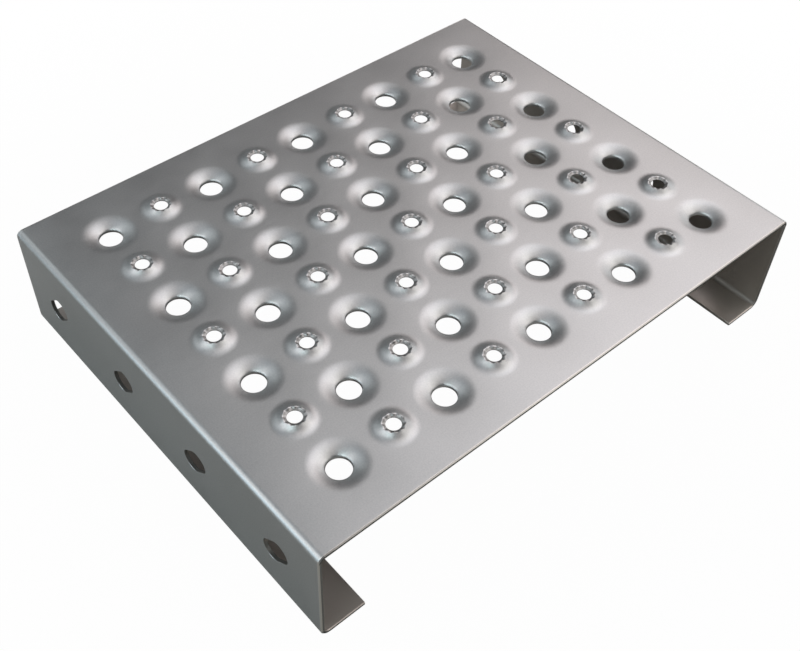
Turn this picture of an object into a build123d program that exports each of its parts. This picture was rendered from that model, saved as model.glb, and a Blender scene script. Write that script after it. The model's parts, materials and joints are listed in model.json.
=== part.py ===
from build123d import *
from math import atan2, degrees, pi, sin
import os

# A length of perforated safety plank: one sheet of galvanised steel, punched and formed
# while flat and then bent into a channel that stands on two inward lips.
# X runs along the webs, Y across the walking face, Z up. The origin is on the floor,
# under the middle of the walking face.

# Channel section
length = 188.0
width = 240.0
height = 50.0
thickness = 1.5
lip_width = 19.0
top_bend_radius = 1.2      # inside the sheet
bottom_bend_radius = 2.4   # inside the sheet
touching = 1e-6            # points nearer than this are one point

# Chequered field of perforations
pitch = 23.4
rows = 7                   # along X
columns = 9                # along Y
field_shift = 1.0          # the bends leave the field this far off the middle, along Y

# Drain bowl, drawn down and punched through; depths are from the walking face
bowl_mouth = 21.2          # diameter
bowl_waist = 14.0          # diameter where the gentle mouth turns into the steep throat
bowl_waist_depth = 0.8
bowl_hole = 9.2            # diameter
bowl_depth = 2.6           # to the rim of the hole
bowl_land = 1.0            # height of the punched edge
bowl_sides = 14

# Gripping collar, burst upward and left with a ring of teeth; heights are from the walking face
collar_base = 17.0         # diameter
collar_shoulder = 13.0     # diameter where the gentle flank turns steep
collar_shoulder_height = 0.5
collar_crown = 7.8         # diameter over the tips of the teeth
collar_height = 2.2
collar_throat = 5.6        # diameter of the narrowest ring
collar_throat_height = 1.4
tooth_count = 10
tooth_depth = 0.3

# Slanted slots in the webs
slot_length = 14.8
slot_width = 9.0
slot_slant = 40.0          # degrees from the floor
slots_per_web = 4
slot_sides = 16            # flats round the two ends together


def field_places(parity, across):
    """Every second place of the chequered field, 0 for bowls and 1 for collars, on the columns given."""
    return [
        Pos((row - (rows - 1) / 2) * pitch, field_shift + (column - (columns - 1) / 2) * pitch, height)
        for row in range(rows)
        for column in across
        if (row + column) % 2 == parity
    ]


def channel():
    """The bent section with its lips, drawn in the YZ plane and run along X."""
    with BuildSketch() as section:
        with Locations((0, height / 2)):
            Rectangle(width, height)
            Rectangle(width - 2 * thickness, height - 2 * thickness, mode=Mode.SUBTRACT)
        with Locations((0, thickness / 2)):
            Rectangle(width - 2 * lip_width, thickness, mode=Mode.SUBTRACT)
        for side, bend in ((1, top_bend_radius), (-1, bottom_bend_radius)):
            for inset, radius in ((0, bend + thickness), (thickness, bend)):
                reach = width / 2 - inset
                level = height / 2 + side * (height / 2 - inset)
                at_bend = section.vertices().filter_by(
                    lambda v: abs(abs(v.X) - reach) < touching and abs(v.Y - level) < touching
                )
                fillet(at_bend, radius)
    return extrude(Plane.YZ * section.sketch, length / 2, both=True)


def stack(sides, *rings):
    """A flat-sided solid run through level rings, each given by its width over the flats and its height."""
    solid = Part()
    for pair in zip(rings, rings[1:]):
        (narrow, tip), (wide, foot) = sorted(pair)
        rise = abs(tip - foot)
        lean = degrees(atan2((wide - narrow) / 2, rise))
        frustum = extrude(RegularPolygon(wide / 2, sides, major_radius=False), rise, taper=lean)
        if tip < foot:
            frustum = Rot(180, 0, 0) * frustum
        solid += Pos(0, 0, foot) * frustum
    return solid


def drain_bowl(round_hole):
    """The drawn metal of one drain bowl, from the mouth down to the punched edge."""
    foot = bowl_depth + bowl_land
    blank = bowl_hole / 2
    blank_level = -thickness - (foot - thickness) * (bowl_mouth - blank) / (bowl_mouth - bowl_hole)
    skirt = stack(bowl_sides, (blank, blank_level), (bowl_mouth, -thickness), (bowl_mouth, 0))
    hollow = stack(bowl_sides, (bowl_hole, -bowl_depth), (bowl_waist, -bowl_waist_depth), (bowl_mouth, 0))
    if round_hole:
        punch = Pos(0, 0, blank_level / 2) * Cylinder(bowl_hole / 2, -blank_level)
    else:
        punch = stack(bowl_sides, (bowl_hole, blank_level), (bowl_hole, 0))
    return skirt - hollow - punch


def grip_collar():
    """The burst metal of one collar: flank, throat and a crown of teeth that lean outward."""
    sides = 2 * tooth_count
    base = (collar_base, -thickness)
    crown = (collar_crown, collar_height)
    flank = stack(sides, base, (collar_base, 0), (collar_shoulder, collar_shoulder_height), crown)
    funnel = stack(sides, base, (collar_throat, collar_throat_height), crown)
    collar = flank - funnel
    valley = collar_height - tooth_depth
    notch_half = collar_crown * sin(pi / sides)
    with BuildSketch(Plane.YZ) as notch:
        Polygon((0, valley), (notch_half, collar_height), (-notch_half, collar_height), align=None)
    cutter = extrude(notch.sketch, collar_crown, both=True)
    for step in range(tooth_count // 2):
        collar -= Rot(0, 0, step * 360 / tooth_count) * cutter
    return collar


def web_slots():
    """Cutters for the slanted slots, run through both webs at half their height."""
    reach = width / 2 + thickness
    spread = (slot_length - slot_width) / 2
    with BuildSketch(Plane.XZ) as slot:
        with Locations(Rot(0, 0, slot_slant)):
            Rectangle(2 * spread, slot_width)
            with Locations((-spread, 0), (spread, 0)):
                RegularPolygon(slot_width / 2, slot_sides, major_radius=False, rotation=180 / slot_sides)
    cutter = extrude(slot.sketch, reach, both=True)
    middle = (slots_per_web - 1) / 2
    return [Pos((place - middle) * 2 * pitch, 0, height / 2) * cutter for place in range(slots_per_web)]


def perforated_plank():
    """The channel with its flat places cut out and the formed bowls and collars set in them."""
    every = range(columns)
    bolted = (0, 1, columns - 2, columns - 1)      # the outer columns, whose bowls take bolts
    plain = [column for column in every if column not in bolted]
    bowl_bore = stack(bowl_sides, (bowl_mouth, -thickness), (bowl_mouth, 0))
    collar_bore = stack(2 * tooth_count, (collar_base, -thickness), (collar_base, 0))
    bolted_bowl = drain_bowl(round_hole=True)
    plain_bowl = drain_bowl(round_hole=False)
    collar = grip_collar()
    sheet = channel() - web_slots()
    sheet -= [place * bowl_bore for place in field_places(0, every)]
    sheet -= [place * collar_bore for place in field_places(1, every)]
    formed = [place * bolted_bowl for place in field_places(0, bolted)]
    formed += [place * plain_bowl for place in field_places(0, plain)]
    formed += [place * collar for place in field_places(1, every)]
    return sheet + formed


os.makedirs("parts", exist_ok=True)
export_step(perforated_plank(), "parts/perforated_plank.step")
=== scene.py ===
import bmesh
import bpy
import json
from math import cos, pi, radians, sin, tau
from mathutils import Euler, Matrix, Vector
from mathutils.geometry import delaunay_2d_cdt
from random import Random


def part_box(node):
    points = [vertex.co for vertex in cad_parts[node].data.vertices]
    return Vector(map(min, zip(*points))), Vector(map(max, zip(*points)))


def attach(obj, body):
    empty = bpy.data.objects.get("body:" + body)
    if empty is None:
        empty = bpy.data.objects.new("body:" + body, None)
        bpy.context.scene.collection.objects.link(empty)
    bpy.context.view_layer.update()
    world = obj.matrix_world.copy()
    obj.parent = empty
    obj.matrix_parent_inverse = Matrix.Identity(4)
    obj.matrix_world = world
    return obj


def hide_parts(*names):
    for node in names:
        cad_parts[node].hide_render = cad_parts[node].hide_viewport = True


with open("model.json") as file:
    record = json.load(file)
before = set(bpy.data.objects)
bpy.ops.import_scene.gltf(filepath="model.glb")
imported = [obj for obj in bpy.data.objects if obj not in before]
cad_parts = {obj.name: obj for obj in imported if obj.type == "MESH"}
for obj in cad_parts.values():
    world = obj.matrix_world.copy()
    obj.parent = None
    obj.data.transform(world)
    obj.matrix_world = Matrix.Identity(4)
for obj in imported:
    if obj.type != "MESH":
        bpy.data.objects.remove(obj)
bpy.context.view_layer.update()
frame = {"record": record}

# The plank: one length of galvanised sheet, punched and formed flat, then bent into a
# channel on two inward lips. Its faces carry the drawn drain bowls, the burst collars
# with their teeth and the slanted slots, all welded here into one closed skin.
mm = 0.001
low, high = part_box("perforated_plank")
mounts = {mount["name"]: mount for mount in frame["record"]["mounts"]}
length, width = (high.x - low.x) / mm, (high.y - low.y) / mm
height = mounts["walking_face"]["pos_m"][2] / mm
thickness = 1.5
worn = 0.15                # rounding of the punched and the long edges

skin = bmesh.new()
points = {}


def point(x, y, z):
    """The one vertex at this place in millimetres, so that faces made apart share their edges."""
    key = (round(x, 3), round(y, 3), round(z, 3))
    if key not in points:
        points[key] = skin.verts.new((x * mm, y * mm, z * mm))
    return points[key]


def face(*corners):
    """A face over these vertices, left out where it has shrunk to nothing or is there already."""
    corners = [v for i, v in enumerate(corners) if v is not corners[i - 1]]
    if len(set(corners)) == len(corners) > 2 and not skin.faces.get(corners):
        skin.faces.new(corners)


def strip(first, second, closed=False):
    """Quads between two rows of vertices with as many points each."""
    for i in range(len(first) - (not closed)):
        j = (i + 1) % len(first)
        face(first[i], first[j], second[j], second[i])


# Every second place is a drain bowl: the mouth dips gently, turns down into the throat
# and ends in the punched edge, whose underside is the sheet that was drawn with it.


def rounds(start, corner, end, steps):
    """Points of the soft curve that leaves start towards corner and arrives at end from it."""
    for step in range(steps + 1):
        t = step / steps
        yield tuple(a * (1 - t) ** 2 + 2 * b * t * (1 - t) + c * t * t for a, b, c in zip(start, corner, end))


def swell(flat, steep, growth, steps):
    """Profile points from the flat sheet to where it is steepest; growth sets how late it turns."""
    (start, level), (end, top) = flat, steep
    shares = [(i / steps) ** 0.8 for i in range(steps + 1)]
    return [(start + (end - start) * k, level + (top - level) * k ** growth) for k in shares]


outer_rows = mounts["corner_drain_holes"]
hole = outer_rows["dims"]["hole_r_mm"]
bowl_mouth, bowl_depth, bowl_land = 11.6, 2.7, 1.0
bowl_parts = 40
foot = bowl_depth + bowl_land
bowl_rows = swell((bowl_mouth, 0.0), (hole + 0.4, -bowl_depth + 0.55), 2.05, 12)
bowl_rows += rounds(bowl_rows[-1], (hole + 0.07, -bowl_depth + 0.25), (hole, -bowl_depth - 0.05), 3)
bowl_rows += [(hole, -foot + worn), (hole + worn, -foot)]
bowl_rows += swell((bowl_mouth, -thickness), (hole + 0.6, -foot), 2.2, 6)[::-1]


def drain_bowl(x, y):
    """Welds one bowl into the walking face; returns the loop where it meets the flat."""
    turns = [(cos(tau * i / bowl_parts), sin(tau * i / bowl_parts)) for i in range(bowl_parts)]
    rings = [[point(x + r * c, y + r * s, height + z) for c, s in turns] for r, z in bowl_rows]
    for upper, lower in zip(rings, rings[1:]):
        strip(lower, upper, closed=True)
    return [(x + bowl_rows[0][0] * c, y + bowl_rows[0][0] * s) for c, s in turns]


# The places between are grip collars: the sheet is burst upward, rises in a soft flank
# and ends in a ring of torn teeth that lean outward round a narrow throat.
collar_foot, collar_tip, collar_top = 9.4, 3.9, 2.2
cone, cone_height = 5.0, 1.38
throat, throat_height = 2.8, 1.4
tooth_count, tooth_depth, tooth_edge = 10, 0.3, 0.22
tooth_parts = 6
tearing = Random(7)


def grip_collar(x, y):
    """Welds one collar into the walking face; returns the loop where it meets the flat."""
    parts = tooth_count * tooth_parts
    tilts = [tearing.uniform(-0.22, 0.22) for _ in range(tooth_count)]
    shorts = [tearing.uniform(0.0, 0.15) for _ in range(tooth_count)]
    columns_of_rows = []
    for i in range(parts):
        tooth, part = divmod(i, tooth_parts)
        rise = 1 - abs(2 * part / tooth_parts - 1)
        chord = cos(pi / tooth_count) / cos((part / tooth_parts - 0.5) * tau / tooth_count)
        top = collar_top - tooth_depth * (1 - rise) - shorts[tooth] * rise
        column = swell((collar_foot, 0.0), (cone, cone_height), 2.4, 10)
        tip = cone - (cone - collar_tip) * (top - cone_height) / (collar_top - cone_height)
        column += [((cone + tip) / 2, (cone_height + top) / 2), (tip, top)]
        crest = tip - tooth_edge
        for k in (1.0, 0.66, 0.33, 0.0):
            r = throat + (crest - throat) * k + tilts[tooth] * rise * k
            z = throat_height + (top - 0.03 - throat_height) * k ** 1.3
            column.append((r * (1 + (chord - 1) * k), z))
        column.append((throat, throat_height - 0.3))
        column += rounds((throat + 0.2, throat_height - 0.4), (6.0, -1.0), (collar_foot - 0.3, -thickness), 6)
        column.append((collar_foot, -thickness))
        angle = tau * (i - tooth_parts / 2) / parts
        columns_of_rows.append([point(x + r * cos(angle), y + r * sin(angle), height + z) for r, z in column])
    rings = list(zip(*columns_of_rows))
    for upper, lower in zip(rings, rings[1:]):
        strip(lower, upper, closed=True)
    angles = [tau * (i - tooth_parts / 2) / parts for i in range(parts)]
    return [(x + collar_foot * cos(a), y + collar_foot * sin(a)) for a in angles]


# Stations along the plank and round its section. Every skin is drawn over them, so the
# walking face, the bends, the webs and the lips meet without a seam.
lip_width = 19.0
top_bend, bottom_bend = 2.7, 3.9          # radii of the outside of the sheet
rolled = 0.4                              # rounding of the sawn ends on the outside
steps_along = 48
face_step, web_step = 6, 5                # about how far apart stations lie on the flats
top_bend_steps, bottom_bend_steps = 8, 10
along = [(length / 2 - rolled) * (2 * i / steps_along - 1) for i in range(steps_along + 1)]


def between(start, end, step):
    """Evenly spaced values from start to end, about a step apart."""
    count = max(1, round(abs(end - start) / step))
    return [start + (end - start) * i / count for i in range(count + 1)]


def half_section():
    """The sheet's outer and inner line on the +Y side, from the middle of the walking face to the lip."""
    outer, inner = [], []
    for y in between(0, width / 2 - top_bend, face_step):
        outer.append((y, height))
        inner.append((y, height - thickness))
    for i in range(1, top_bend_steps):
        a = pi / 2 * (1 - i / top_bend_steps)
        cy, cz = width / 2 - top_bend, height - top_bend
        outer.append((cy + top_bend * cos(a), cz + top_bend * sin(a)))
        inner.append((cy + (top_bend - thickness) * cos(a), cz + (top_bend - thickness) * sin(a)))
    for z in between(height - top_bend, bottom_bend, web_step):
        outer.append((width / 2, z))
        inner.append((width / 2 - thickness, z))
    for i in range(1, bottom_bend_steps):
        a = -pi / 2 * i / bottom_bend_steps
        cy, cz = width / 2 - bottom_bend, bottom_bend
        outer.append((cy + bottom_bend * cos(a), cz + bottom_bend * sin(a)))
        inner.append((cy + (bottom_bend - thickness) * cos(a), cz + (bottom_bend - thickness) * sin(a)))
    for y in between(width / 2 - bottom_bend, width / 2 - lip_width + worn, web_step):
        outer.append((y, 0.0))
        inner.append((y, thickness))
    return outer, inner


outer_line, inner_line = half_section()
top_last = len(between(0, width / 2 - top_bend, face_step)) - 1
web_first = top_last + top_bend_steps
web_last = web_first + len(between(height - top_bend, bottom_bend, web_step)) - 1


def border(levels):
    """The closed outline of a flat part of the sheet, over all its stations."""
    first, last = levels[0], levels[-1]
    outline = [(x, first) for x in along] + [(along[-1], level) for level in levels[1:]]
    outline += [(x, last) for x in reversed(along[:-1])]
    return outline + [(along[0], level) for level in reversed(levels[1:-1])]


# The walking face: the flat sheet above and below, with its field of bowls and collars in
# a chequer, punched a little off the middle and hence nearer to the +Y web.


def pierced(outline, openings, place, turned):
    """A flat face with openings: outline and openings are closed loops, place sets a flat point in space."""
    flat, edges = [], []
    for loop in [outline] + openings:
        first = len(flat)
        flat += [Vector(p) for p in loop]
        edges += [(first + i, first + (i + 1) % len(loop)) for i in range(len(loop))]
    spots, _, triangles, _, _, _ = delaunay_2d_cdt(flat, edges, [], 0, 1e-5)
    owner = {}
    for number, loop in enumerate(openings):
        for p in loop:
            owner[(round(p[0], 3), round(p[1], 3))] = number
    for triangle in triangles:
        corners = [spots[i] for i in triangle]
        owners = {owner.get((round(c.x, 3), round(c.y, 3)), -1) for c in corners}
        if len(owners) == 1 and -1 not in owners:
            continue
        made = [point(*place(c.x, c.y)) for c in corners]
        face(*(reversed(made) if turned else made))


pitch = outer_rows["dims"]["spacing_x_mm"] / 6
rows, columns = 7, 9
field_shift = outer_rows["pos_m"][1] / mm
loops = []
for row in range(rows):
    for column in range(columns):
        x = (row - (rows - 1) / 2) * pitch
        y = field_shift + (column - (columns - 1) / 2) * pitch
        loops.append(drain_bowl(x, y) if (row + column) % 2 == 0 else grip_collar(x, y))
across = [y for y, z in outer_line[: top_last + 1]]
across = [-y for y in reversed(across[1:])] + across
for level, turned in ((height, False), (height - thickness, True)):
    pierced(border(across), loops, lambda x, y: (x, y, level), turned)

# The webs: the two folded sides, each with its row of slanted slots for bolts, punched
# through the flat sheet with a slightly soft edge.
slot_length, slot_width, slot_slant = 14.8, 9.0, radians(40)
slot_place = mounts["left_web_slots"]["pos_m"]
slot_count, slot_parts = 4, 40


def slot_loop(x, z, grow):
    """The closed outline of one slot, grown by the width of its softened edge."""
    loop = []
    for i in range(slot_parts):
        a = tau * (i + 0.5) / slot_parts
        shift = (slot_length - slot_width) / 2 * (1 if cos(a) > 0 else -1)
        u, v = shift + (slot_width / 2 + grow) * cos(a), (slot_width / 2 + grow) * sin(a)
        along_web = x + u * cos(slot_slant) - v * sin(slot_slant)
        up_web = z + u * sin(slot_slant) + v * cos(slot_slant)
        loop.append((along_web, up_web))
    return loop


row_middle = (slot_count - 1) / 2
slots = [(slot_place[0] / mm + (i - row_middle) * 2 * pitch, slot_place[2] / mm) for i in range(slot_count)]
levels = [z for y, z in outer_line[web_first : web_last + 1]]
for side in (1, -1):
    for inset in (0, thickness):
        edge_loops = [slot_loop(x, z, worn) for x, z in slots]
        turned = (side > 0) == (inset > 0)
        pierced(border(levels), edge_loops, lambda x, z: (x, side * (width / 2 - inset), z), turned)
    for x, z in slots:
        rings = []
        for grow, inset in ((worn, 0), (0, worn), (0, thickness - worn), (worn, thickness)):
            rings.append([point(px, side * (width / 2 - inset), pz) for px, pz in slot_loop(x, z, grow)])
        for a, b in zip(rings, rings[1:]):
            strip(a, b, closed=True)

# The bends and the return lips with their free edges, and the two ends, where the long
# profile was sawn off: there the outer edge is rolled over further than the inner one.
inner_rolled = 0.24
outer_share, inner_share = rolled / thickness, inner_rolled / thickness
tip_y = width / 2 - lip_width
edge = [(tip_y + worn, 0), (tip_y, worn), (tip_y, thickness - worn), (tip_y + worn, thickness)]
for side in (1, -1):
    for line in (outer_line, inner_line):
        for i in range(top_last, len(line) - 1):
            if web_first <= i < web_last:
                continue
            pair = [[point(x, side * y, z) for x in along] for y, z in line[i : i + 2]]
            strip(*pair)
    for a, b in zip(edge, edge[1:]):
        strip(*[[point(x, side * y, z) for x in along] for y, z in (a, b)])
    for end in (1, -1):
        x_in, x_out = end * (length / 2 - rolled), end * length / 2
        cut = []
        for (oy, oz), (iy, iz) in zip(outer_line, inner_line):
            near = (oy + (iy - oy) * outer_share, oz + (iz - oz) * outer_share)
            far = (iy + (oy - iy) * inner_share, iz + (oz - iz) * inner_share)
            cut.append([point(x_in, side * oy, oz), point(x_out, side * near[0], near[1]),
                        point(x_out, side * far[0], far[1]), point(x_in, side * iy, iz)])
        for a, b in zip(cut, cut[1:]):
            for k in range(3):
                face(a[k], b[k], b[k + 1], a[k + 1])
        tip = [point(x_in, side * y, z) for y, z in edge]
        face(tip[0], cut[-1][1], tip[1])
        face(tip[1], cut[-1][1], cut[-1][2], tip[2])
        face(tip[2], cut[-1][2], tip[3])

bmesh.ops.recalc_face_normals(skin, faces=skin.faces)
plank_mesh = bpy.data.meshes.new("plank")
skin.to_mesh(plank_mesh)
skin.free()
plank_mesh.shade_smooth()
plank_mesh.set_sharp_from_angle(angle=radians(28))
plank = bpy.data.objects.new("plank_sheet", plank_mesh)
bpy.context.scene.collection.objects.link(plank)

# The finish: zinc over cold-rolled steel, satin, with a fine grain drawn out from web to
# web and faint clouds. The torn rims show bare steel, and the collar throats below them
# painted shade. The sawn ends carry a bright burr with a painted highlight over a cut
# painted dark, and painted light where the webs are cut; the slot walls hold painted shade,
# and the inside faces a painted warm light.
steel = bpy.data.materials.new("galvanised_steel")
steel.use_nodes = True
tree = steel.node_tree
zinc = tree.nodes["Principled BSDF"]


class Shade:
    """A shader output that takes part in sums, so that a mask reads as the formula it is."""

    def __init__(self, tree, socket):
        self.tree, self.socket = tree, socket

    def node(self, kind, settings, sockets, output=0):
        """The output of a further node: its settings come first, then the values or links of its sockets."""
        made = self.tree.nodes.new(kind)
        for name, value in settings.items():
            setattr(made, name, value)
        for name, value in sockets.items():
            if isinstance(value, Shade):
                value.into(made.inputs[name])
            else:
                made.inputs[name].default_value = value
        return Shade(self.tree, made.outputs[output])

    def into(self, socket):
        """Links this output to a socket."""
        self.tree.links.new(self.socket, socket)

    def math(self, operation, *values):
        """One Math node on values that are shaders or plain numbers."""
        return self.node("ShaderNodeMath", {"operation": operation}, dict(enumerate(values)))

    def __add__(self, other): return self.math("ADD", self, other)
    def __radd__(self, other): return self.math("ADD", other, self)
    def __sub__(self, other): return self.math("SUBTRACT", self, other)
    def __rsub__(self, other): return self.math("SUBTRACT", other, self)
    def __mul__(self, other): return self.math("MULTIPLY", self, other)
    def __rmul__(self, other): return self.math("MULTIPLY", other, self)
    def __truediv__(self, other): return self.math("DIVIDE", self, other)
    def __rtruediv__(self, other): return self.math("DIVIDE", other, self)
    def __pow__(self, other): return self.math("POWER", self, other)
    def __rpow__(self, other): return self.math("POWER", other, self)
    def __abs__(self): return self.math("ABSOLUTE", self)

    def wrapped(self, reach):
        """This value folded into -reach to reach, for what repeats every two reaches."""
        return self.math("WRAP", self, reach, -reach)

    def between(self, start, end):
        """0 below start, 1 above end, and a straight ramp in between."""
        limits = {"Value": self, "From Min": start, "From Max": end}
        return self.node("ShaderNodeMapRange", {"clamp": True}, limits)

    def blend(self, low_colour, high_colour):
        """The colour at this share of the way from one to the other."""
        return self.node("ShaderNodeMix", {"data_type": "RGBA"}, {0: self, 6: low_colour, 7: high_colour}, 2)


place = Shade(tree, tree.nodes.new("ShaderNodeTexCoord").outputs["Object"])
x, y, z = [place.node("ShaderNodeSeparateXYZ", {}, {"Vector": place}, axis) / mm for axis in range(3)]


def noise(scale, stretch=(1, 1, 1), detail=3.0, roughness=0.5):
    """Grey noise over the plank; scale counts its grains per metre and stretch draws them out."""
    laid = place.node("ShaderNodeMapping", {}, {"Vector": place, "Scale": stretch})
    pattern = {"Vector": laid, "Scale": scale, "Detail": detail, "Roughness": roughness}
    return place.node("ShaderNodeTexNoise", {}, pattern)


grain = noise(900, (1.0, 0.12, 1.0), 4, 0.6)
speckle = noise(1700, detail=2)
cloud = noise(26, detail=4, roughness=0.6)
patina = noise(90, detail=5, roughness=0.65)
tone = 0.1 + cloud.between(0.3, 0.7) * 0.18 + patina.between(0.3, 0.7) * 0.12
tone = tone + grain * 0.5 + (speckle - 0.5) * 1.6
colour = tone.blend((0.55, 0.56, 0.565, 1), (0.66, 0.665, 0.665, 1))

rubbed = z.between(height + 0.8, height + 2.4) * speckle.between(0.35, 0.7)
colour = (rubbed * 0.25).blend(colour, (0.8, 0.8, 0.8, 1))

inner_face = width / 2 - thickness
# Painted warm light: the faces inside the channel, from 4 mm under the walking face down to the lips, are
# tinted warmer.
painted_inner_light = (1 - abs(y).between(inner_face, inner_face + 0.1)) * (1 - z.between(height - 5, height - 4))
colour = painted_inner_light.blend(colour, (0.62, 0.575, 0.535, 1))

from_hole = (x.wrapped(pitch / 2) ** 2 + (y - field_shift).wrapped(pitch / 2) ** 2) ** 0.5
# Darkened inner walls of each collar crown: bare steel at the torn rims, and painted shade in the throat
# below them.
bare_rim_and_throat_shade = z.between(height + 0.6, height + 1.1) * (1 - from_hole.between(3.75, 4.0))
colour = (bare_rim_and_throat_shade * 0.8).blend(colour, (0.34, 0.335, 0.33, 1))

above_lip = z.between(3, 4)
outside = z.between(height - 0.55, height - 0.45)
outside = place.math("MAXIMUM", outside, abs(y).between(width / 2 - 0.55, width / 2 - 0.45) * above_lip)
# A bright band on the outer edges at the two ends: the rolled burr, brightened as a painted highlight.
burr_and_edge_highlight = abs(x).between(length / 2 - 0.85, length / 2 - 0.5) * outside
colour = burr_and_edge_highlight.blend(colour, (0.82, 0.8, 0.765, 1))

in_web = above_lip * (1 - z.between(height - 3.2, height - 2.7))
# The cut faces in lit and shaded copies: painted shade on the ends of the walking face, bends and lips, and
# painted light where the webs are cut.
cut_light_and_shade = in_web.blend((0.17, 0.165, 0.16, 1), (0.9, 0.86, 0.78, 1))
sawn = abs(x).between(length / 2 - 0.04, length / 2 - 0.01)
colour = sawn.blend(colour, cut_light_and_shade)

# Painted shade on the walls within the sheet of the webs: the slot walls, and the sawn web ends inside the
# burr.
slot_wall_shade = abs(y).between(inner_face + 0.02, inner_face + 0.1)
slot_wall_shade = slot_wall_shade * (1 - abs(y).between(width / 2 - 0.12, width / 2 - 0.02))
colour = (in_web * slot_wall_shade * (1 - burr_and_edge_highlight)).blend(colour, (0.3, 0.3, 0.29, 1))

roughness = 0.34 + cloud.between(0.3, 0.75) * 0.06 + grain * 0.08 + speckle * 0.05 - burr_and_edge_highlight * 0.06
relief = grain * 0.5 + speckle * 0.35 + patina * 0.6
bump = place.node("ShaderNodeBump", {}, {"Height": relief, "Strength": 0.12, "Distance": 0.0002})
colour.into(zinc.inputs["Base Color"])
roughness.into(zinc.inputs["Roughness"])
bump.into(zinc.inputs["Normal"])
zinc.inputs["Metallic"].default_value = 1.0
plank_mesh.materials.append(steel)
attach(plank, "root")
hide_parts("perforated_plank")

# The floor: a sheet of pale paper that keeps a faint shadow near the plank and goes over
# into plain white away from it. The plank mirrors the grey of the paper, not that white.
floor_mesh = bpy.data.meshes.new("floor")
reach = 6.0
floor_corners = [(-reach, -reach, 0), (reach, -reach, 0), (reach, reach, 0), (-reach, reach, 0)]
floor_mesh.from_pydata(floor_corners, [], [(0, 1, 2, 3)])
floor = bpy.data.objects.new("floor", floor_mesh)
bpy.context.scene.collection.objects.link(floor)
paper = bpy.data.materials.new("white_paper")
paper.use_nodes = True
tree = paper.node_tree
matt = tree.nodes["Principled BSDF"]
matt.inputs["Base Color"].default_value = (0.34, 0.33, 0.31, 1)
matt.inputs["Roughness"].default_value = 0.9
spot = Shade(tree, tree.nodes.new("ShaderNodeTexCoord").outputs["Object"])
away = spot.node("ShaderNodeVectorMath", {"operation": "LENGTH"}, {"Vector": spot}, "Value")
seen = spot.node("ShaderNodeLightPath", {}, {}, "Is Camera Ray")
share = seen * (0.982 + away.between(0.13, 0.3) * 0.018)
glow = spot.node("ShaderNodeEmission", {}, {"Color": (1, 1, 1, 1)})
shown = spot.node("ShaderNodeMixShader", {}, {0: share, 1: Shade(tree, matt.outputs[0]), 2: glow})
shown.into(tree.nodes["Material Output"].inputs["Surface"])
floor_mesh.materials.append(paper)

# The room: white where it is seen and nearly dark where it lights, so that the soft lamps
# set round the plank do all the lighting.
world = bpy.data.worlds.new("studio")
bpy.context.scene.world = world
world.use_nodes = True
tree = world.node_tree
room = tree.nodes["Background"]
room.inputs["Color"].default_value = (0.02, 0.02, 0.02, 1)
dim = Shade(tree, room.outputs[0])
white = dim.node("ShaderNodeBackground", {}, {"Color": (1, 1, 1, 1)})
seen = dim.node("ShaderNodeLightPath", {}, {}, "Is Camera Ray")
shown = dim.node("ShaderNodeMixShader", {}, {0: seen, 1: dim, 2: white})
shown.into(tree.nodes["World Output"].inputs["Surface"])

# The lamps: square soft boxes in a dome round the plank, warmer over its +Y web and cooler
# on the other side, so that the bowls and collars show a warm and a cool slope.
lamp_distance, lamp_size = 1.3, 0.7


def softbox(name, azimuth, elevation, power, colour):
    """A square soft lamp facing the plank; azimuth turns from +X towards +Y, both in degrees."""
    lamp = bpy.data.lights.new(name, "AREA")
    lamp.shape = "SQUARE"
    lamp.size = lamp_size
    lamp.energy = power
    lamp.color = colour
    held = bpy.data.objects.new(name, lamp)
    level = cos(radians(elevation))
    towards = Vector((level * cos(radians(azimuth)), level * sin(radians(azimuth)), sin(radians(elevation))))
    held.location = towards * lamp_distance
    held.rotation_euler = towards.to_track_quat("Z", "Y").to_euler()
    bpy.context.scene.collection.objects.link(held)


softbox("right_low", 90, 14, 1.4, (0.98, 0.99, 1.0))
softbox("right_front", 67.5, 40, 2.25, (1.0, 0.94, 0.92))
softbox("right_back", 112.5, 40, 1.7, (1.0, 0.9, 0.88))
softbox("front_low", 33, 29, 1.7, (1.0, 0.97, 0.92))
softbox("front_high", 45, 62, 1.1, (1.0, 1.0, 0.93))
softbox("front_top", 0, 62, 0.5, (1.0, 0.86, 0.84))
softbox("right_high", 90, 62, 1.75, (0.96, 0.94, 1.0))
softbox("back_high", 135, 62, 0.7, (1.0, 1.0, 0.99))
softbox("back_low", 160, 12, 0.2, (0.95, 0.98, 1.0))
softbox("far_low", 195, 14, 0.28, (0.85, 0.95, 1.0))
softbox("overhead", 0, 86, 0.98, (1.0, 0.94, 0.95))
softbox("left_low", 247.5, 14, 2.7, (0.76, 0.92, 1.0))
softbox("left_front", 292.5, 40, 3.75, (0.85, 0.98, 1.0))
softbox("left_side", 247.5, 40, 2.1, (1.0, 0.97, 0.97))
softbox("left_back", 202.5, 40, 1.0, (0.91, 0.98, 1.0))
softbox("left_high", 225, 62, 0.4, (0.7, 0.86, 1.0))

# The camera looks down on the plank over the end of its -Y web.
eye = bpy.data.cameras.new("camera")
eye.lens = 49.82
camera = bpy.data.objects.new("camera", eye)
camera.location = (0.2338, -0.22053, 0.34638)
camera.rotation_euler = Euler((radians(42.129), radians(-1.654), radians(48.879)))
bpy.context.scene.collection.objects.link(camera)
bpy.context.scene.camera = camera
bpy.context.scene.view_settings.view_transform = "Standard"
